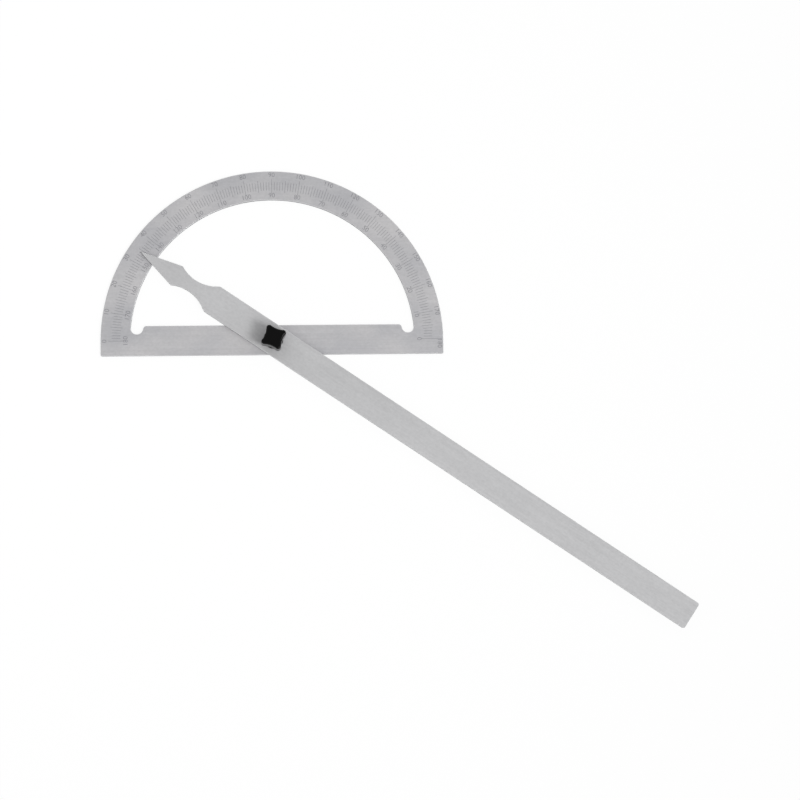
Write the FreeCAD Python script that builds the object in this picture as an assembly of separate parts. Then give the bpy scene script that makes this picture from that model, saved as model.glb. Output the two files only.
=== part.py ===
import FreeCAD, Part
import math
import os

# Protractor with a swinging blade, lying on its back with the scale facing up.
# Lengths are millimetres. The origin is the pivot axis at the back face of the plate,
# +X runs along the base line to the scale's right-hand zero, +Y to its middle (90
# degrees), and +Z out of the graduated face.

# ---- plate: half-round rim and base bar in one pressed sheet -------------------------
PLATE_THICKNESS = 2.0
RIM_OUTER_RADIUS = 103.0
RIM_WIDTH = 17.5
BAR_BELOW_PIVOT = 9.0       # pivot line to the lower, measuring edge of the bar
BAR_ABOVE_PIVOT = 9.0       # pivot line to the bar's upper edge, in the window
FOOT_CORNER_RADIUS = 0.7
PLATE_EDGE_BREAK = 0.25     # chamfer that takes the burr off the upper edges
RELIEF_RADIUS = 3.7         # milled relief where the window's arc meets the bar
RELIEF_DEPTH = 5.0          # how far the relief cuts below the bar's upper edge
RELIEF_SHOULDER_RADIUS = 2.0

# ---- blade: pointer at one end, plain straight tail at the other ---------------------
BLADE_THICKNESS = 2.0
BLADE_WIDTH = 18.0
BLADE_ANGLE = 145.75        # where the pointer stands at rest, from +X
BLADE_SLIDE_CLEARANCE = 0.05    # under the blade, so that it clears the etched scale
POINTER_REACH = 94.5        # pivot axis to the pointer's tip
TAIL_REACH = 304.0          # pivot axis to the square end
TAIL_CORNER_RADIUS = 1.5
BLADE_EDGE_BREAK = 0.25
POINTER_HALF_ANGLE = 14.5
POINTER_TIP_FLAT = 0.3      # half width of the tip, broken so that it doesn't scratch
NECK_HALF_WIDTH = 3.95
NECK_FROM_TIP = 35.9        # tip to the narrowest place of the neck
NECK_FLANK_RADIUS = 22.5    # hollow flanks on both sides of the neck
SHOULDER_RADIUS = 4.0       # where the flanks run out into the blade's edges

# ---- pivot stud, swaged into the plate from the front --------------------------------
JOURNAL_DIAMETER = 8.0
JOURNAL_RUNNING_CLEARANCE = 0.04    # radial, between journal and blade
JOURNAL_SHORTFALL = 0.1     # the journal ends this far under the blade's top face
SHANK_DIAMETER = 6.0
RIVET_HEAD_DIAMETER = 8.0
RIVET_HEAD_DEPTH = 1.0
THREAD_DIAMETER = 5.0
THREAD_CLEARANCE = 0.05     # radial, between the plain stand-in cylinders of the thread
THREAD_CHAMFER = 0.6
STUD_END_GAP = 1.2          # stud's end to the bottom of the knob's blind hole

# ---- washers under the knob ----------------------------------------------------------
SPRING_WASHER_DIAMETER = 10.0
SPRING_WASHER_BORE = 5.4
SPRING_WASHER_SHEET = 0.4
SPRING_WASHER_BOW = 0.3     # height of the bow that is left when the blade is clamped
SPRING_SEAT_GAP = 0.01
FLAT_WASHER_DIAMETER = 10.0
FLAT_WASHER_BORE = 5.3
FLAT_WASHER_THICKNESS = 1.0
FLAT_WASHER_CHAMFER = 0.15

# ---- clamping knob: round collar, four-lobed grip, brass insert ----------------------
COLLAR_DIAMETER = 11.8
COLLAR_HEIGHT = 3.0
COLLAR_CHAMFER = 0.5
GRIP_HEIGHT = 9.6
GRIP_TIP_RADIUS = 8.1       # knob axis to the crown of a lobe
GRIP_LOBE_RADIUS = 1.95
GRIP_WAIST_RADIUS = 5.6     # knob axis to the middle of a hollow side
GRIP_LOBES = 4
GRIP_DRAFT = 1.5            # degrees, so that the moulding leaves its die
GRIP_TOP_RADIUS = 1.2
GRIP_FOOT_CHAMFER = 0.3
GRIP_ANGLE = 24.0           # where one lobe points when the blade is clamped
INSERT_DIAMETER = 7.4
INSERT_LENGTH = 9.0
INSERT_GROOVE_DEPTH = 0.4   # ring round the insert that the plastic grips
INSERT_GROOVE_WIDTH = 1.6
MOULDED_FIT = 0.01          # radial, between the insert and the plastic round it

# ---- levels that follow from the sizes above -----------------------------------------
UP = FreeCAD.Vector(0, 0, 1)
BLADE_BASE = PLATE_THICKNESS + BLADE_SLIDE_CLEARANCE
BLADE_TOP = BLADE_BASE + BLADE_THICKNESS
JOURNAL_TOP = BLADE_TOP - JOURNAL_SHORTFALL
SPRING_BASE = BLADE_TOP + SPRING_SEAT_GAP
SPRING_TOP = SPRING_BASE + SPRING_WASHER_SHEET + SPRING_WASHER_BOW
FLAT_WASHER_BASE = SPRING_TOP + SPRING_SEAT_GAP
KNOB_BASE = FLAT_WASHER_BASE + FLAT_WASHER_THICKNESS
GRIP_BASE = KNOB_BASE + COLLAR_HEIGHT
INSERT_TOP = KNOB_BASE + INSERT_LENGTH
STUD_TOP = INSERT_TOP - STUD_END_GAP


def point(x, y, z=0.0):
    return FreeCAD.Vector(x, y, z)


def polar(radius, degrees, z=0.0):
    angle = math.radians(degrees)
    return point(radius * math.cos(angle), radius * math.sin(angle), z)


def line(start, end):
    return Part.LineSegment(start, end).toShape()


def arc(start, middle, end):
    return Part.Arc(start, middle, end).toShape()


def plate_of(edges, base, height):
    """Extrude a closed outline into a sheet whose lower face lies at base."""
    face = Part.Face(Part.Wire(edges))
    sheet = face.extrude(UP * height)
    sheet.translate(UP * base)
    return sheet


def cylinder(diameter, base, top):
    return Part.makeCylinder(diameter / 2, top - base, point(0, 0, base))


def ring(outer, inner, base, top):
    return cylinder(outer, base, top).cut(cylinder(inner, base, top))


def turned(profile):
    """Turn a closed outline of (radius, height) points about the Z axis."""
    corners = [point(radius, 0, height) for radius, height in profile]
    face = Part.Face(Part.makePolygon(corners + corners[:1]))
    return face.revolve(point(0, 0, 0), UP, 360)


def upright_edges(solid, accept):
    """Straight edges along Z whose place in plan passes the accept test."""
    chosen = []
    for edge in solid.Edges:
        box = edge.BoundBox
        if box.XLength < 1e-6 and box.YLength < 1e-6 and accept(box.Center):
            chosen.append(edge)
    return chosen


def plate_outline():
    """Half circle on top, straight feet below the pivot line down to the bar's edge."""
    right = point(RIM_OUTER_RADIUS, 0)
    left = point(-RIM_OUTER_RADIUS, 0)
    foot_right = point(RIM_OUTER_RADIUS, -BAR_BELOW_PIVOT)
    foot_left = point(-RIM_OUTER_RADIUS, -BAR_BELOW_PIVOT)
    rim = arc(right, point(0, RIM_OUTER_RADIUS), left)
    return [rim, line(left, foot_left), line(foot_left, foot_right), line(foot_right, right)]


def relief_centre():
    """The relief circle touches the window's arc from inside and cuts RELIEF_DEPTH into the bar."""
    window_radius = RIM_OUTER_RADIUS - RIM_WIDTH
    height = BAR_ABOVE_PIVOT - RELIEF_DEPTH + RELIEF_RADIUS
    across = math.sqrt((window_radius - RELIEF_RADIUS) ** 2 - height ** 2)
    return across, height


def window():
    """The half-moon opening between rim and bar, with a relief in both of its corners."""
    radius = RIM_OUTER_RADIUS - RIM_WIDTH
    half_chord = math.sqrt(radius ** 2 - BAR_ABOVE_PIVOT ** 2)
    right = point(half_chord, BAR_ABOVE_PIVOT)
    left = point(-half_chord, BAR_ABOVE_PIVOT)
    opening = plate_of([arc(right, point(0, radius), left), line(left, right)], 0, PLATE_THICKNESS)
    across, height = relief_centre()
    for side in (-1, 1):
        place = point(side * across, height)
        opening = opening.fuse(Part.makeCylinder(RELIEF_RADIUS, PLATE_THICKNESS, place))
    return opening.removeSplitter()


def plate():
    sheet = plate_of(plate_outline(), 0, PLATE_THICKNESS)
    feet = upright_edges(sheet, lambda place: abs(place.y + BAR_BELOW_PIVOT) < 1e-6)
    sheet = sheet.makeFillet(FOOT_CORNER_RADIUS, feet).cut(window())
    across, _height = relief_centre()
    shoulders = upright_edges(
        sheet,
        lambda place: abs(place.y - BAR_ABOVE_PIVOT) < 1e-6 and abs(place.x) < across,
    )
    sheet = sheet.makeFillet(RELIEF_SHOULDER_RADIUS, shoulders)
    sheet = sheet.makeChamfer(PLATE_EDGE_BREAK, edges_at(sheet, PLATE_THICKNESS))
    return sheet.cut(cylinder(SHANK_DIAMETER, 0, PLATE_THICKNESS)).cut(rivet_head_seat())


def rivet_head_seat():
    """Countersink in the plate's back that the swaged end of the stud fills."""
    return Part.makeCone(RIVET_HEAD_DIAMETER / 2, SHANK_DIAMETER / 2, RIVET_HEAD_DEPTH)


def neck_points():
    """Half of the pointer's outline, as (distance from the tip, half width) places."""
    slope = math.tan(math.radians(POINTER_HALF_ANGLE))
    centre = (NECK_FROM_TIP, NECK_HALF_WIDTH + NECK_FLANK_RADIUS)
    half_width = BLADE_WIDTH / 2
    # the straight flank of the head meets the hollow flank where line and circle cross
    a = 1 + slope ** 2
    b = -2 * (centre[0] + slope * (centre[1] - POINTER_TIP_FLAT))
    c = centre[0] ** 2 + (centre[1] - POINTER_TIP_FLAT) ** 2 - NECK_FLANK_RADIUS ** 2
    barb = (-b - math.sqrt(b ** 2 - 4 * a * c)) / (2 * a)
    run_out = centre[0] + math.sqrt(NECK_FLANK_RADIUS ** 2 - (centre[1] - half_width) ** 2)
    return (barb, POINTER_TIP_FLAT + slope * barb), (run_out, half_width)


def blade_outline():
    """Outline along +X with the pointer's tip at +X, walked round anticlockwise."""
    barb, run_out = neck_points()
    waist = (NECK_FROM_TIP, NECK_HALF_WIDTH)

    def at(place, side):
        return point(POINTER_REACH - place[0], side * place[1])

    tip = (0.0, POINTER_TIP_FLAT)
    tail = (POINTER_REACH + TAIL_REACH, BLADE_WIDTH / 2)
    return [
        line(at(tip, -1), at(tip, 1)),
        line(at(tip, 1), at(barb, 1)),
        arc(at(barb, 1), at(waist, 1), at(run_out, 1)),
        line(at(run_out, 1), at(tail, 1)),
        line(at(tail, 1), at(tail, -1)),
        line(at(tail, -1), at(run_out, -1)),
        arc(at(run_out, -1), at(waist, -1), at(barb, -1)),
        line(at(barb, -1), at(tip, -1)),
    ]


def blade():
    strip = plate_of(blade_outline(), BLADE_BASE, BLADE_THICKNESS)
    _barb, run_out = neck_points()
    shoulder_x = POINTER_REACH - run_out[0]
    shoulders = upright_edges(strip, lambda place: abs(place.x - shoulder_x) < 1e-6)
    strip = strip.makeFillet(SHOULDER_RADIUS, shoulders)
    corners = upright_edges(strip, lambda place: abs(place.x + TAIL_REACH) < 1e-6)
    strip = strip.makeFillet(TAIL_CORNER_RADIUS, corners)
    strip = strip.makeChamfer(BLADE_EDGE_BREAK, edges_at(strip, BLADE_TOP))
    eye = cylinder(JOURNAL_DIAMETER + 2 * JOURNAL_RUNNING_CLEARANCE, BLADE_BASE, BLADE_TOP)
    strip = strip.cut(eye)
    strip.rotate(point(0, 0, 0), UP, BLADE_ANGLE)
    return strip


def pivot_stud():
    """Turned from bar: swaged head flush with the back, shank, journal and threaded end."""
    thread = THREAD_DIAMETER / 2 - THREAD_CLEARANCE
    return turned([
        (0, 0),
        (RIVET_HEAD_DIAMETER / 2, 0),
        (SHANK_DIAMETER / 2, RIVET_HEAD_DEPTH),
        (SHANK_DIAMETER / 2, PLATE_THICKNESS),
        (JOURNAL_DIAMETER / 2, PLATE_THICKNESS),
        (JOURNAL_DIAMETER / 2, JOURNAL_TOP),
        (thread, JOURNAL_TOP),
        (thread, STUD_TOP - THREAD_CHAMFER),
        (thread - THREAD_CHAMFER, STUD_TOP),
        (0, STUD_TOP),
    ])


def spring_washer():
    """Curved spring washer: a flat ring bent about the Y axis, bearing on two edges and a crown."""
    reach = SPRING_WASHER_DIAMETER / 2
    bend = (reach ** 2 + SPRING_WASHER_BOW ** 2) / (2 * SPRING_WASHER_BOW)
    crown = SPRING_TOP
    axis_start = point(0, -reach, crown - SPRING_WASHER_SHEET - bend)
    along = point(0, 1, 0)
    shell = Part.makeCylinder(bend + SPRING_WASHER_SHEET, 2 * reach, axis_start, along)
    shell = shell.cut(Part.makeCylinder(bend, 2 * reach, axis_start, along))
    blank = ring(SPRING_WASHER_DIAMETER, SPRING_WASHER_BORE, SPRING_BASE, SPRING_TOP)
    return shell.common(blank)


def flat_washer():
    washer = ring(FLAT_WASHER_DIAMETER, FLAT_WASHER_BORE, FLAT_WASHER_BASE, KNOB_BASE)
    rims = [edge for edge in washer.Edges if is_circle(edge, FLAT_WASHER_DIAMETER / 2)]
    return washer.makeChamfer(FLAT_WASHER_CHAMFER, rims)


def is_circle(edge, radius):
    return isinstance(edge.Curve, Part.Circle) and abs(edge.Curve.Radius - radius) < 1e-6


def grip_outline(inset, height):
    """Four lobes joined by hollow sides, all arcs tangent; inset shrinks it evenly."""
    lobe_axis = GRIP_TIP_RADIUS - GRIP_LOBE_RADIUS
    half_pitch = 180.0 / GRIP_LOBES
    cosine = math.cos(math.radians(half_pitch))
    # radius of the hollow side that touches both neighbouring lobes and the waist circle
    hollow = GRIP_LOBE_RADIUS ** 2 - lobe_axis ** 2 - GRIP_WAIST_RADIUS ** 2
    hollow += 2 * cosine * lobe_axis * GRIP_WAIST_RADIUS
    hollow /= 2 * (GRIP_WAIST_RADIUS - cosine * lobe_axis - GRIP_LOBE_RADIUS)
    share = GRIP_LOBE_RADIUS / (GRIP_LOBE_RADIUS + hollow)
    edges = []
    for index in range(GRIP_LOBES):
        lobe_angle = GRIP_ANGLE + index * 2 * half_pitch
        lobe = polar(lobe_axis, lobe_angle, height)
        before = polar(GRIP_WAIST_RADIUS + hollow, lobe_angle - half_pitch, height)
        after = polar(GRIP_WAIST_RADIUS + hollow, lobe_angle + half_pitch, height)
        next_lobe = polar(lobe_axis, lobe_angle + 2 * half_pitch, height)
        shrink = 1 - inset / GRIP_LOBE_RADIUS
        start = lobe + (before - lobe) * share * shrink
        end = lobe + (after - lobe) * share * shrink
        next_start = next_lobe + (after - next_lobe) * share * shrink
        edges.append(arc(start, polar(GRIP_TIP_RADIUS - inset, lobe_angle, height), end))
        waist = polar(GRIP_WAIST_RADIUS - inset, lobe_angle + half_pitch, height)
        edges.append(arc(end, waist, next_start))
    return Part.Wire(edges)


def grip():
    """Lofted four-lobed grip, drafted towards its rounded top."""
    inset = GRIP_HEIGHT * math.tan(math.radians(GRIP_DRAFT))
    foot = grip_outline(0.0, GRIP_BASE)
    head = grip_outline(inset, GRIP_BASE + GRIP_HEIGHT)
    body = Part.makeLoft([foot, head], True, True)
    top_edges = edges_at(body, GRIP_BASE + GRIP_HEIGHT)
    body = body.makeFillet(GRIP_TOP_RADIUS, top_edges)
    return body.makeChamfer(GRIP_FOOT_CHAMFER, edges_at(body, GRIP_BASE))


def edges_at(solid, height):
    """Edges that lie flat at one height."""
    level = []
    for edge in solid.Edges:
        box = edge.BoundBox
        if abs(box.ZMin - height) < 1e-4 and abs(box.ZMax - height) < 1e-4:
            level.append(edge)
    return level


def collar():
    """Round foot of the knob, with both rims bevelled."""
    foot = cylinder(COLLAR_DIAMETER, KNOB_BASE, GRIP_BASE)
    rims = [edge for edge in foot.Edges if is_circle(edge, COLLAR_DIAMETER / 2)]
    return foot.makeChamfer(COLLAR_CHAMFER, rims)


def insert_blank(growth):
    """Outside of the brass insert, with the ring groove that keeps it in the plastic."""
    radius = INSERT_DIAMETER / 2 + growth
    groove = radius - INSERT_GROOVE_DEPTH
    middle = KNOB_BASE + INSERT_LENGTH / 2
    half = INSERT_GROOVE_WIDTH / 2 - growth
    return turned([
        (0, KNOB_BASE),
        (radius, KNOB_BASE),
        (radius, middle - half),
        (groove, middle - half),
        (groove, middle + half),
        (radius, middle + half),
        (radius, INSERT_TOP + growth),
        (0, INSERT_TOP + growth),
    ])


def knob():
    body = grip().fuse(collar())
    return body.cut(insert_blank(MOULDED_FIT))


def knob_insert():
    return insert_blank(0.0).cut(cylinder(THREAD_DIAMETER, KNOB_BASE, INSERT_TOP))


PIECES = {
    "protractor_plate": plate,
    "pivot_stud": pivot_stud,
    "pointer_blade": blade,
    "spring_washer": spring_washer,
    "flat_washer": flat_washer,
    "clamp_knob": knob,
    "knob_insert": knob_insert,
}

os.makedirs("parts", exist_ok=True)
for name, make in PIECES.items():
    shape = make()
    shape.exportStep("parts/" + name + ".step")
    print(name, "solids", len(shape.Solids), "valid", shape.isValid(), "volume", round(shape.Volume, 2))
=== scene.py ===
# %% [markdown]
# # A plate protractor with a swinging blade
#
# A half-round steel plate carries the scale, a long steel blade with an arrow-shaped
# pointer turns on a stud in the middle of the base bar, and a small black knob clamps it.
# The pieces that carry load and move come ready made as a frame of solids. This lesson
# adds what a solid can't show: the etched scale, the finish of each metal and plastic, and
# a lit stage to look at them on.

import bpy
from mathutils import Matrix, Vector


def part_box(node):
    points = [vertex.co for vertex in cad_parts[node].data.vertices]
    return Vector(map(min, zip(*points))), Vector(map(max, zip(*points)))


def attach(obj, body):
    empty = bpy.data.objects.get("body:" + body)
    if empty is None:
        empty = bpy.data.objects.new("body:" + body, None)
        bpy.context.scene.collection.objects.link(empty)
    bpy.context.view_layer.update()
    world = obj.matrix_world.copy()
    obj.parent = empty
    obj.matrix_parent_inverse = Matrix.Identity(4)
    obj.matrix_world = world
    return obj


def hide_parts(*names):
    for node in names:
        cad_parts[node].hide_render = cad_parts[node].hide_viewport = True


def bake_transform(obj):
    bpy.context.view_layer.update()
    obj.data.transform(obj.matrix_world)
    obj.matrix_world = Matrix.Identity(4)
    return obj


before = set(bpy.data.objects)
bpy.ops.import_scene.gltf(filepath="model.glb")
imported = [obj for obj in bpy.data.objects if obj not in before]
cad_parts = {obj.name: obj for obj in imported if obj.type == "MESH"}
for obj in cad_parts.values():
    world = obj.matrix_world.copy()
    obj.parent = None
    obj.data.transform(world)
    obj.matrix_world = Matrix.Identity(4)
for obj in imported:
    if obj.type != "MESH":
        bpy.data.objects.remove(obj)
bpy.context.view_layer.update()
print("nodes:", sorted(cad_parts))

# %% [markdown]
# ## Units, colours and a clean selection
#
# Blender works in metres while a drawing of a small tool is in millimetres, so one
# constant turns one into the other. Colours are chosen as a painter would, as sRGB hex
# values, but the shader wants linear light, so one function converts them. Operators act
# on everything that is selected, so one more function clears the selection first.

# %% Helpers
import math

import bmesh
import bpy
from mathutils import Matrix, Vector

MM = 0.001


def linear(code):
    """An sRGB hex colour such as "b8b8ba" as linear RGBA."""
    channels = [int(code[i:i + 2], 16) / 255 for i in (0, 2, 4)]
    curve = [c / 12.92 if c <= 0.04045 else ((c + 0.055) / 1.055) ** 2.4 for c in channels]
    return (*curve, 1.0)


def deselect_all():
    if bpy.context.object and bpy.context.object.mode != "OBJECT":
        bpy.ops.object.mode_set(mode="OBJECT")
    bpy.ops.object.select_all(action="DESELECT")


def make_active(*pieces):
    deselect_all()
    for piece in pieces:
        piece.select_set(True)
    bpy.context.view_layer.objects.active = pieces[0]


deselect_all()
print("50% grey in linear light:", round(linear("808080")[0], 3))

# %% [markdown]
# ## A small function for shader nodes
#
# A procedural material is a graph. Every node needs the same three things: its kind, its
# settings and what feeds its sockets. One function does all three, and the materials
# below then read as short recipes.

# %% The node helper


def add_node(material, kind, settings=None, **sockets):
    """Add a shader node to a material or a world. A socket takes a value or an output."""
    tree = material.node_tree
    node = tree.nodes.new("ShaderNode" + kind)
    for name, value in (settings or {}).items():
        setattr(node, name, value)
    for name, value in sockets.items():
        key = int(name[1:]) if name[1:].isdigit() else name.replace("_", " ")
        if isinstance(value, bpy.types.NodeSocket):
            tree.links.new(value, node.inputs[key])
        else:
            node.inputs[key].default_value = value
    return node


def new_material(name):
    material = bpy.data.materials.new(name)
    material.use_nodes = True
    material.node_tree.nodes.clear()
    return material


def finish_material(material, surface):
    add_node(material, "OutputMaterial", Surface=surface)
    return material


# %% [markdown]
# ## Satin ground steel
#
# The plate and the blade are stainless sheet, ground on a belt and then blasted lightly,
# which gives a soft grey that mirrors nothing sharply. Seen closely there are four
# things on it: long fine grinding lines, the small pits of the blasting, a cloudy
# unevenness some centimetres across where hands have been, and a few stray hairline
# scratches. Each is a noise texture on Object coordinates, stretched along the grain, with
# its size given in millimetres. The edges differ: the walls were sheared and are torn, and
# are painted darker as shade; the broken edges were filed, and are painted lighter as a
# highlight. The direction that a face looks in tells them apart.

# %% Material: satin ground steel


def stretched_noise(material, place, turn, length, width, detail, seed):
    """Noise in streaks of that length and width, in metres, turned about Z."""
    mapping = add_node(
        material, "Mapping", {"vector_type": "TEXTURE"},
        Vector=place, Location=(seed, -seed, 0), Rotation=(0, 0, turn),
        Scale=(length, width, width),
    )
    noise = add_node(
        material, "TexNoise", {"noise_dimensions": "3D"},
        Vector=mapping.outputs["Vector"], Scale=1.0, Detail=detail, Roughness=0.55,
    )
    return noise.outputs["Fac"]


def spread(material, value, low, high, from_low=0.3, from_high=0.7):
    """Map the middle of a noise's range onto low to high."""
    node = add_node(
        material, "MapRange", None,
        Value=value, From_Min=from_low, From_Max=from_high, To_Min=low, To_Max=high,
    )
    return node.outputs["Result"]


WALL_LIMIT = 0.4            # a face whose normal rises less than this is a sheared wall
BROKEN_RISE = 0.707         # a broken edge looks up at 45 degrees
BROKEN_MARGIN = 0.2


def edge_zones(material, facing):
    """Two masks by facing: sheared walls get painted shade, broken edges a painted
    highlight.
    """
    level = add_node(material, "SeparateXYZ", None, Vector=facing).outputs["Z"]
    steep = add_node(material, "Math", {"operation": "ABSOLUTE"}, i0=level).outputs[0]
    wall = add_node(material, "Math", {"operation": "LESS_THAN"}, i0=steep, i1=WALL_LIMIT)
    broken = add_node(
        material, "Math", {"operation": "COMPARE"},
        i0=steep, i1=BROKEN_RISE, i2=BROKEN_MARGIN,
    )
    return wall.outputs[0], broken.outputs[0]


def mixed_colour(material, share, first, second):
    # Mix has one set of sockets for each data type, so the colours go in by number
    node = add_node(
        material, "Mix", {"data_type": "RGBA"}, Factor=share, i6=first, i7=second,
    )
    return node.outputs[2]


# painted shade: the sheared walls are a torn grey, painted darker for the shade at the edges
SHEARED_SHADE_DARK, SHEARED_SHADE_LIGHT = "7a7a7e", "949498"
# painted highlight: the filed edges are painted lighter, as edges that catch the light
FILED_EDGE_HIGHLIGHT = "dededf"
PIT_DEPTH = 0.012 * MM
ROUGHNESS_SWING = 0.05


def satin_steel(name, dark, light, grain_turn, roughness):
    """Stainless sheet, belt ground and lightly blasted: an even grey with a soft sheen."""
    material = new_material(name)
    coordinates = add_node(material, "TexCoord")
    place = coordinates.outputs["Object"]
    wall, broken = edge_zones(material, coordinates.outputs["Normal"])
    # a belt leaves lines about 0.05 mm wide; they are drawn at 0.35 mm so that they show
    grain = stretched_noise(material, place, grain_turn, 14 * MM, 0.35 * MM, 3.0, 0.0)
    band = stretched_noise(material, place, grain_turn, 110 * MM, 1.8 * MM, 1.0, 0.007)
    cloud = stretched_noise(material, place, grain_turn, 38 * MM, 26 * MM, 2.0, 0.013)
    # pits of fine blasting are about 0.1 mm across; these too are drawn coarser
    blast = stretched_noise(material, place, 0.0, 0.5 * MM, 0.5 * MM, 2.0, 0.0)
    hairline = stretched_noise(
        material, place, grain_turn + 0.12, 22 * MM, 0.25 * MM, 0.0, 0.031,
    )
    scratch = spread(material, hairline, 0.0, 1.0, 0.74, 0.80)

    tone = mixed_colour(
        material, spread(material, cloud, 0.0, 1.0), linear(dark), linear(light),
    )
    streak = add_node(
        material, "Math", {"operation": "MULTIPLY"},
        i0=spread(material, grain, 0.98, 1.02), i1=spread(material, band, 0.982, 1.018),
    )
    mottle = stretched_noise(material, place, grain_turn, 1.6 * MM, 1.2 * MM, 2.0, 0.019)
    speckled = add_node(
        material, "Math", {"operation": "MULTIPLY"},
        i0=streak.outputs[0], i1=spread(material, mottle, 0.965, 1.035),
    )
    streaked = add_node(
        material, "HueSaturation", None, Color=tone, Value=speckled.outputs[0],
    )
    shear = stretched_noise(material, place, 0.0, 0.25 * MM, 0.25 * MM, 2.0, 0.0)
    # the walls' torn grey, darker than the face as painted shade
    torn_and_shaded = mixed_colour(
        material, spread(material, shear, 0.0, 1.0),
        linear(SHEARED_SHADE_DARK), linear(SHEARED_SHADE_LIGHT),
    )
    sided = mixed_colour(material, wall, streaked.outputs["Color"], torn_and_shaded)
    # the broken edges take a lighter colour, a painted highlight
    colour = mixed_colour(material, broken, sided, linear(FILED_EDGE_HIGHLIGHT))
    rough = add_node(
        material, "Math", {"operation": "ADD"},
        i0=spread(
            material, grain, roughness - ROUGHNESS_SWING, roughness + ROUGHNESS_SWING,
        ),
        i1=spread(material, cloud, -0.03, 0.03),
    )
    height = add_node(
        material, "Math", {"operation": "MULTIPLY_ADD"},
        i0=grain, i1=0.6, i2=blast,
    )
    cut = add_node(
        material, "Math", {"operation": "SUBTRACT"},
        i0=height.outputs[0], i1=scratch,
    )
    bump = add_node(
        material, "Bump", None,
        Height=cut.outputs[0], Distance=PIT_DEPTH, Strength=0.5,
    )
    shader = add_node(
        material, "BsdfPrincipled", None,
        Base_Color=colour, Metallic=1.0,
        Roughness=rough.outputs[0], Normal=bump.outputs["Normal"],
    )
    return finish_material(material, shader.outputs["BSDF"])


BLADE_TURN = math.radians(145.75)   # the blade's grain runs along it, as it lies at rest
plate_steel = satin_steel("satin_ground_steel_plate", "b9b9bc", "cbcacb", 0.0, 0.74)
blade_steel = satin_steel("satin_ground_steel_blade", "c0c0c1", "c9c9ca", BLADE_TURN, 0.72)
print("made", plate_steel.name, "and", blade_steel.name)

# %% [markdown]
# ## The small metal parts
#
# The stud is turned from bar, so its tool marks are rings about its axis. The flat washer
# is stamped and zinc plated, and the spring washer is rolled strip, hardened and dark.
# The insert in the knob is turned brass. A wave texture in rings about Z draws the marks
# of turning. Such marks are 0.05 to 0.1 mm apart, too fine to show, so they are drawn
# about a millimetre or more apart.

# %% Material: turned and plated metals


WAVE_TURNS = 20             # the wave node runs through this many radians in a unit


def turned_metal(name, colour, roughness, ring_step):
    """Metal with faint rings about Z, one every 2 pi ring_steps, that streak its shine."""
    material = new_material(name)
    place = add_node(material, "TexCoord").outputs["Object"]
    rings = add_node(
        material, "TexWave", {"wave_type": "RINGS", "rings_direction": "Z"},
        Vector=place, Scale=1.0 / (WAVE_TURNS * ring_step), Distortion=1.5, Detail=2.0,
    )
    bump = add_node(
        material, "Bump", None,
        Height=rings.outputs["Fac"], Distance=0.01 * MM, Strength=0.35,
    )
    shader = add_node(
        material, "BsdfPrincipled", None,
        Base_Color=linear(colour), Metallic=1.0,
        Roughness=spread(
            material, rings.outputs["Fac"], roughness - 0.05, roughness + 0.06, 0, 1,
        ),
        Normal=bump.outputs["Normal"],
    )
    return finish_material(material, shader.outputs["BSDF"])


stud_steel = turned_metal("turned_stud_steel", "b0b0b2", 0.30, 0.15 * MM)
spring_steel = turned_metal("hardened_spring_strip", "77777c", 0.35, 0.5 * MM)
washer_zinc = turned_metal("zinc_plated_washer", "c2c3c6", 0.32, 0.4 * MM)
insert_brass = turned_metal("turned_brass", "c9a45c", 0.30, 0.2 * MM)
print("made", stud_steel.name, spring_steel.name, washer_zinc.name, insert_brass.name)

# %% [markdown]
# ## Glossy moulded phenolic
#
# Small clamping knobs like this are pressed from black phenolic resin in a polished die.
# The surface is almost black and shines, with a faint orange peel about a millimetre
# across, and fine rubbing marks that dull it in patches.

# %% Material: black phenolic


PHENOLIC_BLACK = "040404"
PHENOLIC_SHINE = 0.12       # below the usual 0.5, so that the top stays black under the dome


def black_phenolic(name):
    """Phenolic resin from a polished die: near black, with tight highlights on its edges."""
    material = new_material(name)
    place = add_node(material, "TexCoord").outputs["Object"]
    peel = stretched_noise(material, place, 0.0, 1.2 * MM, 1.2 * MM, 1.0, 0.0)
    rub = stretched_noise(material, place, 0.6, 3.0 * MM, 0.12 * MM, 2.0, 0.004)
    bump = add_node(
        material, "Bump", None,
        Height=peel, Distance=0.03 * MM, Strength=0.25,
    )
    shader = add_node(
        material, "BsdfPrincipled", None,
        Base_Color=linear(PHENOLIC_BLACK), Metallic=0.0,
        Specular_IOR_Level=PHENOLIC_SHINE,
        Roughness=spread(material, rub, 0.12, 0.24),
        Normal=bump.outputs["Normal"],
    )
    return finish_material(material, shader.outputs["BSDF"])


knob_black = black_phenolic("moulded_black_phenolic")
print("made", knob_black.name)

# %% [markdown]
# ## Dressing the ready-made solids
#
# Six solids of the frame already have the right shape at every pose, so they only get
# their finish, put into their material slots. The seventh, the spring washer, has to open
# and is made further down.

# %% Finish on the frame's solids
FINISHES = {
    "protractor_plate": plate_steel,
    "pointer_blade": blade_steel,
    "pivot_stud": stud_steel,
    "flat_washer": washer_zinc,
    "clamp_knob": knob_black,
    "knob_insert": insert_brass,
}
for node, material in FINISHES.items():
    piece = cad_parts[node]
    if not piece.material_slots:
        piece.data.materials.append(material)
    for slot in piece.material_slots:
        slot.material = material
    print(node, "->", material.name)

# %% [markdown]
# ## A spring washer in two halves
#
# Under the flat washer lies a curved spring washer. When the knob is slackened, its crown
# follows the flat washer up while its two ends stay down on the blade. So it is made as two
# halves that meet on the crown. The sheet keeps its thickness, as a spring that opens does.
# A circle, inset, with its middle deleted and one side bisected away, gives the flat half
# ring. Its points are then lowered along an arc in code, which gives the radius of the solid
# exactly.

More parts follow.
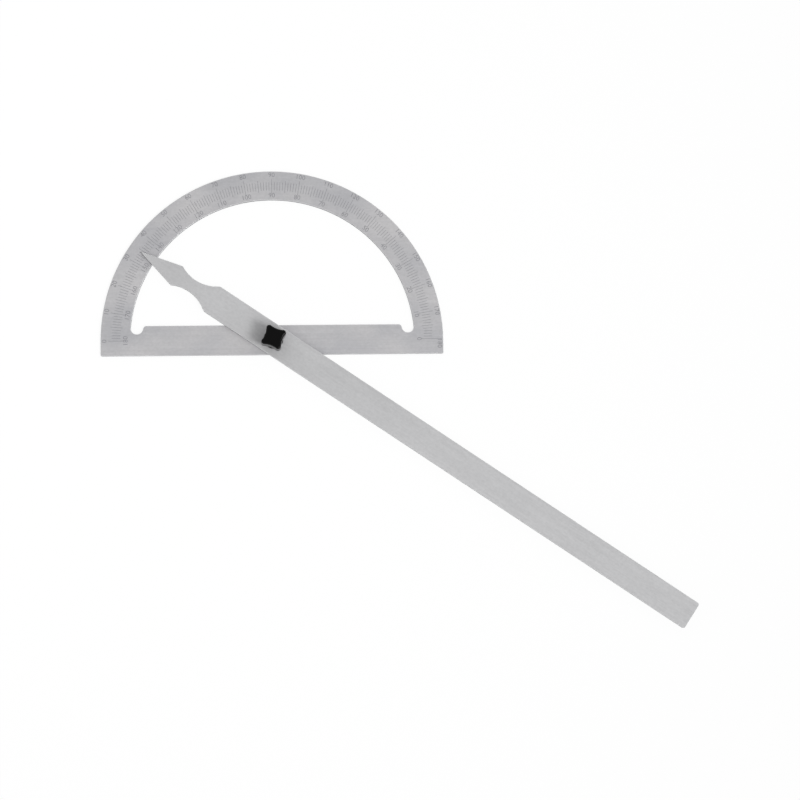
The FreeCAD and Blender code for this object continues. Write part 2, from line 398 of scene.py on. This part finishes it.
# %% Two halves of the spring washer
SPRING_LOW, SPRING_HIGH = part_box("spring_washer")
SPRING_OUTER = SPRING_HIGH[0]
SPRING_BORE = 2.7 * MM      # radius of the hole
SPRING_SHEET = 0.4 * MM
SPRING_SIDES = 80           # sides of the round outline
SPRING_CUTS = 3             # across the ring, so that the bow is smooth


def select_edges(piece, wanted):
    """In edit mode, select the edges for whose two ends wanted(a, b) is true."""
    bpy.ops.mesh.select_mode(type="EDGE")
    bpy.ops.mesh.select_all(action="DESELECT")
    mesh = bmesh.from_edit_mesh(piece.data)
    for edge in mesh.edges:
        if wanted(edge.verts[0].co, edge.verts[1].co):
            edge.select_set(True)
    bmesh.update_edit_mesh(piece.data)


def half_washer(name, side):
    """Half of the bowed ring, at +X where side is 1 and at -X where it is -1."""
    deselect_all()
    bpy.ops.mesh.primitive_circle_add(
        vertices=SPRING_SIDES, radius=SPRING_OUTER, fill_type="NGON",
    )
    half = bpy.context.object
    half.name = name
    bpy.ops.object.mode_set(mode="EDIT")
    bpy.ops.mesh.select_all(action="SELECT")
    bpy.ops.mesh.inset(thickness=SPRING_OUTER - SPRING_BORE)
    bpy.ops.mesh.delete(type="FACE")
    bpy.ops.mesh.select_all(action="SELECT")
    bpy.ops.mesh.bisect(plane_co=(0, 0, 0), plane_no=(side, 0, 0), clear_inner=True)
    ring_width = SPRING_OUTER - SPRING_BORE
    select_edges(half, lambda a, b: abs(a.length - b.length) > ring_width / 2)
    bpy.ops.mesh.subdivide(number_cuts=SPRING_CUTS)
    bpy.ops.object.mode_set(mode="OBJECT")
    bow = SPRING_HIGH[2] - SPRING_LOW[2] - SPRING_SHEET
    # radius of the upper face: that of the lower one, from its bow, and the sheet
    bend = (SPRING_OUTER ** 2 + bow ** 2) / (2 * bow) + SPRING_SHEET
    for vertex in half.data.vertices:
        drop = bend - math.sqrt(bend ** 2 - vertex.co.x ** 2)
        vertex.co.z = SPRING_HIGH[2] - drop
    sheet = half.modifiers.new("sheet", "SOLIDIFY")
    sheet.thickness = SPRING_SHEET
    sheet.offset = -1
    bpy.ops.object.modifier_apply(modifier=sheet.name)
    half.data.materials.append(spring_steel)
    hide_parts("spring_washer")
    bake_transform(half)
    return half


spring_halves = [half_washer("spring_half_right", 1), half_washer("spring_half_left", -1)]
print("spring washer:", [half.name for half in spring_halves])

# %% [markdown]
# ## The etched scale
#
# The marks are etched and filled with a black that has worn to a soft grey. Drawing them
# as a texture would blur them, so each is a sliver of real geometry that stands a few
# hundredths of a millimetre proud, less than the gap under the blade. The fill is first:
# matt, and unevenly worn over a millimetre or two.

# %% Material: black filled etching


FILL_DARK, FILL_WORN = "5e5e62", "7c7c82"


def etched_fill(name):
    """Paint rubbed into an etched line: matt, with no shine of its own."""
    material = new_material(name)
    place = add_node(material, "TexCoord").outputs["Object"]
    patch = stretched_noise(material, place, 0.0, 1.5 * MM, 1.5 * MM, 3.0, 0.0)
    fill = mixed_colour(
        material, spread(material, patch, 0.0, 1.0), linear(FILL_DARK), linear(FILL_WORN),
    )
    shader = add_node(
        material, "BsdfPrincipled", None,
        Base_Color=fill, Roughness=0.6,
    )
    return finish_material(material, shader.outputs["BSDF"])


etching = etched_fill("black_filled_etching")
print("made", etching.name)

# %% [markdown]
# ## One mark of each kind
#
# There are three lengths: one for every degree, a longer one for every fifth and the
# longest for every tenth. The line at the right-hand end of the base is longer still and
# runs out to the rim. One mark of each kind is modelled lying along +X: a cube made long
# and thin, with its upright edges bevelled so that the line narrows at its ends.

# %% Model marks
PLATE_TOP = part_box("protractor_plate")[1][2]
RIM_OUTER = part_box("protractor_plate")[1][0]
MARK_WIDTH = 0.18 * MM
MARK_PROUD = 0.02 * MM      # the blade passes 0.05 mm above the plate
END_NARROWING = 0.3         # bevel at the ends, as a share of the mark's width
MARK_REACH = {              # inner and outer end of a mark, as shares of the rim's radius
    1: (0.885, 0.935),
    5: (0.875, 0.945),
    10: (0.868, 0.955),
    "zero": (0.868, 0.994),
}


def model_mark(every, inner, outer):
    """A mark along +X with its short ends narrowed, as an etched line ends."""
    deselect_all()
    middle = (inner + outer) / 2
    bpy.ops.mesh.primitive_cube_add(size=1, location=(middle, 0, PLATE_TOP))
    mark = bpy.context.object
    mark.name = f"mark_every_{every}"
    mark.scale = (outer - inner, MARK_WIDTH, 2 * MARK_PROUD)
    bpy.ops.object.transform_apply(location=True, rotation=True, scale=True)
    bpy.ops.object.mode_set(mode="EDIT")
    select_edges(mark, lambda a, b: abs(a.z - b.z) > MARK_PROUD)
    bpy.ops.mesh.bevel(
        offset=END_NARROWING * MARK_WIDTH, offset_type="OFFSET", segments=1, affect="EDGES",
    )
    bpy.ops.object.mode_set(mode="OBJECT")
    return mark


model_marks = {
    every: model_mark(every, inner * RIM_OUTER, outer * RIM_OUTER)
    for every, (inner, outer) in MARK_REACH.items()
}
print("model marks:", [mark.name for mark in model_marks.values()])

# %% [markdown]
# ## The whole scale
#
# Each of the 181 marks is a copy of its model, with a mesh of its own, turned about the
# pivot. Joined, they are one piece that stays on the plate.

# %% One mark for every degree


HALF_TURN = 180


def mark_kind(degree):
    if degree == 0:
        return "zero"
    if degree % 10 == 0:
        return 10
    return 5 if degree % 5 == 0 else 1


marks = []
for degree in range(HALF_TURN + 1):
    copy = model_marks[mark_kind(degree)].copy()
    copy.data = copy.data.copy()
    copy.data.transform(Matrix.Rotation(math.radians(degree), 4, "Z"))
    bpy.context.collection.objects.link(copy)
    marks.append(copy)
for model in model_marks.values():
    bpy.data.objects.remove(model)
make_active(*marks)
bpy.ops.object.join()
scale_marks = bpy.context.object
scale_marks.name = "scale_marks"
scale_marks.data.materials.clear()
scale_marks.data.materials.append(etching)
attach(scale_marks, "base")
print("marks:", len(marks), "faces:", len(scale_marks.data.polygons))

# %% [markdown]
# ## The numbers
#
# Two rows of numbers count every ten degrees. The outer row runs from 0 at the left to
# 180 at the right, the inner row the other way, so an angle can be read from either end
# of the base. Each number is a text object, made into a mesh, and then moved to its place
# with its foot towards the pivot. A text's mesh has loose corners, and a digit can come
# out with faces that look inward, so the corners are welded and such a digit is turned.

# %% Two rows of numbers
NUMBER_HEIGHT = 2.9 * MM
DIGIT_SHARE = 0.72          # a digit's height, as a share of the text's size
STROKE_TRIM = 0.06 * MM     # taken off each side of a stroke, as a fine etching is
WELD = 0.002 * MM           # points closer than this are one
NUMBER_ROWS = {             # middle of the row, as a share of the rim's radius
    "outer_numbers": 0.978,
    "inner_numbers": 0.856,
}


def face_outward(piece):
    """A closed shell whose faces look inward has a negative volume, so it is turned over."""
    shell = bmesh.new()
    shell.from_mesh(piece.data)
    if shell.calc_volume(signed=True) < 0:
        bmesh.ops.reverse_faces(shell, faces=shell.faces)
        shell.to_mesh(piece.data)
    shell.free()


def number_mesh(text):
    """The digits as a thin closed mesh, centred on the origin, foot towards -Y."""
    deselect_all()
    bpy.ops.object.text_add(location=(0, 0, 0))
    label = bpy.context.object
    label.data.body = text
    label.data.align_x = "CENTER"
    label.data.align_y = "CENTER"
    label.data.size = NUMBER_HEIGHT / DIGIT_SHARE
    label.data.offset = -STROKE_TRIM
    label.data.extrude = MARK_PROUD
    label.data.resolution_u = 4
    bpy.ops.object.convert(target="MESH")
    bpy.ops.object.mode_set(mode="EDIT")
    bpy.ops.mesh.select_all(action="SELECT")
    bpy.ops.mesh.remove_doubles(threshold=WELD)
    bpy.ops.mesh.normals_make_consistent(inside=False)
    bpy.ops.mesh.separate(type="LOOSE")
    bpy.ops.object.mode_set(mode="OBJECT")
    digits = list(bpy.context.selected_objects)
    for digit in digits:
        face_outward(digit)
    make_active(*digits)
    bpy.ops.object.join()
    return bpy.context.object


def number_row(name, share, text_at, nudges):
    pieces = []
    for degree in range(0, HALF_TURN + 1, 10):
        label = number_mesh(str(text_at(degree)))
        angle = degree + nudges.get(degree, 0) - 90
        turn = Matrix.Rotation(math.radians(angle), 4, "Z")
        out = Matrix.Translation((0, share * RIM_OUTER, PLATE_TOP))
        label.data.transform(turn @ out)
        pieces.append(label)
    make_active(*pieces)
    bpy.ops.object.join()
    row = bpy.context.object
    row.name = name
    row.matrix_world = Matrix.Identity(4)
    row.data.materials.clear()
    row.data.materials.append(etching)
    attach(row, "base")
    print(name, "faces:", len(row.data.polygons))


# the outer 180 stands 1.5 degrees below the line that runs out to the rim there
BELOW_ZERO_LINE = {0: -1.5}
number_row(
    "outer_numbers", NUMBER_ROWS["outer_numbers"], lambda degree: HALF_TURN - degree,
    BELOW_ZERO_LINE,
)
number_row("inner_numbers", NUMBER_ROWS["inner_numbers"], lambda degree: degree, {})

# %% [markdown]
# ## The stage
#
# The tool lies on a large white sheet. The sheet shows as plain white to the camera and
# in reflections, which is done with the Light Path node rather than with more light, so
# the steel keeps its own tone. A share of the sheet's real shading stays in the mix and
# keeps a soft contact shadow.

# %% Floor
FLOOR_SIDE = 30.0
PLAIN_WHITE_SHARE = 0.92    # the rest is the sheet's own shading, with the shadow


def white_sheet(name):
    material = new_material(name)
    path = add_node(material, "LightPath")
    seen = add_node(
        material, "Math", {"operation": "MAXIMUM"},
        i0=path.outputs["Is Camera Ray"], i1=path.outputs["Is Glossy Ray"],
    )
    share = add_node(
        material, "Math", {"operation": "MULTIPLY"},
        i0=seen.outputs[0], i1=PLAIN_WHITE_SHARE,
    )
    paper = add_node(material, "BsdfDiffuse", None, Color=linear("f4f4f4"))
    glow = add_node(material, "Emission", None, Color=(1, 1, 1, 1), Strength=1.0)
    mix = add_node(
        material, "MixShader", None,
        i0=share.outputs[0], i1=paper.outputs[0], i2=glow.outputs[0],
    )
    return finish_material(material, mix.outputs[0])


deselect_all()
bpy.ops.mesh.primitive_plane_add(size=FLOOR_SIDE, location=(0, 0, 0))
floor = bpy.context.object
floor.name = "white_sheet"
floor.data.materials.append(white_sheet("white_paper"))
print("floor", FLOOR_SIDE, "m square")

# %% [markdown]
# ## Light
#
# The light is soft and even. A dome of grey ceiling over white walls gives most of it, and
# one large softbox high on the right, in front, lays the knob's soft shadow to the left.
# Its beam is kept narrow by a grid, which evens out the light along the blade.

# %% World and lamps
HORIZON_LIGHT = 1.0         # white, so that the far edge of the sheet doesn't show
ZENITH_LIGHT = 0.58         # the ceiling is greyer than the walls
world = bpy.data.worlds.new("studio_world")
bpy.context.scene.world = world
world.use_nodes = True
background = world.node_tree.nodes["Background"]
background.inputs["Color"].default_value = (1, 1, 1, 1)
direction = add_node(world, "TexCoord").outputs["Generated"]
height = add_node(world, "SeparateXYZ", None, Vector=direction).outputs["Z"]
dome = spread(world, height, HORIZON_LIGHT, ZENITH_LIGHT, 0.0, 1.0)
world.node_tree.links.new(dome, background.inputs["Strength"])


def area_lamp(name, place, target, side, power, beam):
    lamp = bpy.data.lights.new(name, "AREA")
    lamp.shape = "SQUARE"
    lamp.size = side
    lamp.energy = power
    lamp.spread = math.radians(beam)
    holder = bpy.data.objects.new(name, lamp)
    bpy.context.collection.objects.link(holder)
    holder.location = place
    aim = Vector(target) - Vector(place)
    holder.rotation_euler = aim.to_track_quat("-Z", "Y").to_euler()


SOFTBOX_PLACE = (1.03, -0.72, 1.98)
SOFTBOX_AIM = (-0.22, 0.11, 0)
SOFTBOX_SIDE = 1.0
SOFTBOX_POWER = 1.9         # a narrow beam is brighter for the same power
SOFTBOX_BEAM = 32           # degrees
area_lamp(
    "softbox_right", SOFTBOX_PLACE, SOFTBOX_AIM, SOFTBOX_SIDE, SOFTBOX_POWER, SOFTBOX_BEAM,
)

# %% [markdown]
# ## Camera
#
# The camera stands almost straight above, a little towards the reader, with a portrait
# lens that keeps the half circle round. It is about a metre away, so the tall knob leans
# only slightly.

# %% Camera
LENS = 72                   # millimetres, on a sensor 36 mm wide
SENSOR_WIDTH = 36
CAMERA_PLACE = (-0.0089, -0.1096, 0.9636)
CAMERA_TURN = (4.38, -4.96, -1.03)      # degrees
camera_data = bpy.data.cameras.new("reader_camera")
camera = bpy.data.objects.new("reader_camera", camera_data)
bpy.context.collection.objects.link(camera)
camera_data.lens = LENS
camera_data.sensor_width = SENSOR_WIDTH
camera.location = CAMERA_PLACE
camera.rotation_euler = tuple(math.radians(angle) for angle in CAMERA_TURN)
bpy.context.scene.camera = camera
bpy.context.scene.view_settings.view_transform = "Standard"
print("camera", round(camera.location.z, 3), "m above the bench")
